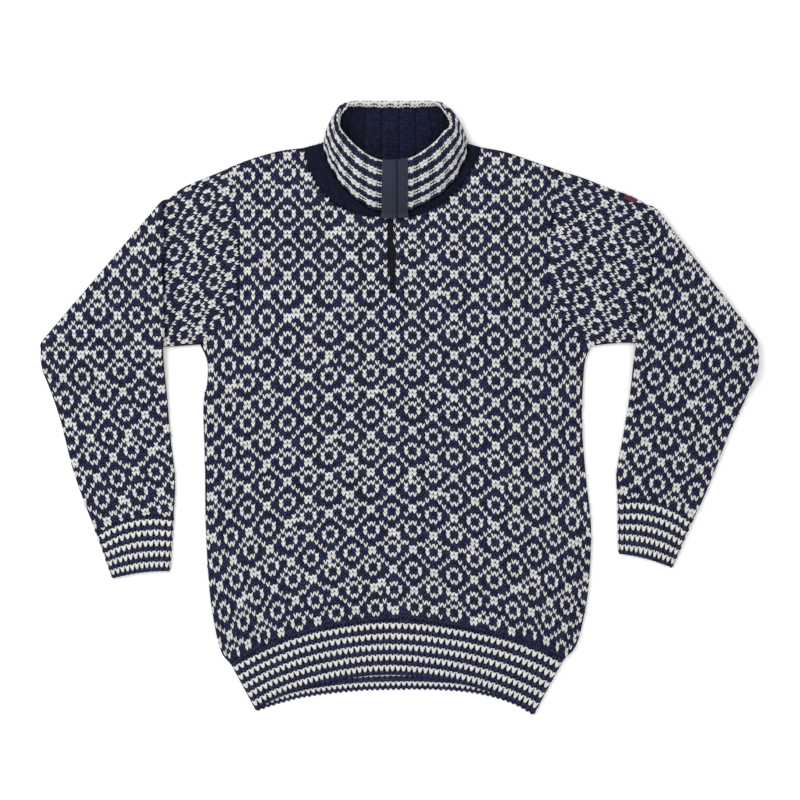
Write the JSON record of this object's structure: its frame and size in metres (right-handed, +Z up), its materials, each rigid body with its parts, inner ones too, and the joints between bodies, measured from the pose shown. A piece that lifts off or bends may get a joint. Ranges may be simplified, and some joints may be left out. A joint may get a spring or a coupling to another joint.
{
  "type": "half-zip sweater laid flat",
  "caption": "Half-zip knit sweater lying flat, front up, with a stand-up rib collar, a short front zip and both sleeves folded forward at the elbow.",
  "frame": {"origin": "point on the surface the sweater lies on, below the middle of the body", "axes": "+Y from the hem to the collar, +X to the right as seen from above, +Z up out of the front"},
  "size_m": [0.9481, 0.8102, 0.039],
  "materials": {
    "stranded_knit": "heavy two-colour stranded wool knit in navy and off-white",
    "navy_knit": "plain navy wool knit, matt with a soft fuzz",
    "cream_knit": "off-white wool knit, matt with a soft fuzz",
    "striped_rib": "navy and off-white striped wool rib",
    "lining_rib": "plain navy wool rib",
    "ribbon": "grosgrain ribbon, slight sheen",
    "zip_tape": "woven polyester tape",
    "zip_coil": "dark nylon coil, slight gloss",
    "slider_metal": "dark plated metal",
    "tab_tape": "small woven tape"
  },
  "bodies": {
    "root": {"front_panel": "stranded_knit", "back_panel": "stranded_knit", "front_hem_rib": "striped_rib", "back_hem_rib": "striped_rib", "sleeve_left": "stranded_knit", "sleeve_right": "stranded_knit", "cuff_left": "striped_rib", "cuff_right": "striped_rib", "neck_band_left": "navy_knit", "neck_band_right": "navy_knit", "neck_band_back": "navy_knit", "collar": "striped_rib", "collar_lining": "lining_rib", "ribbon_left": "ribbon", "ribbon_right": "ribbon", "zip_tape_left": "zip_tape", "zip_tape_right": "zip_tape", "zip_coil": "zip_coil", "zip_slider": "slider_metal", "sleeve_tab": "tab_tape"}
  },
  "joints": []
}
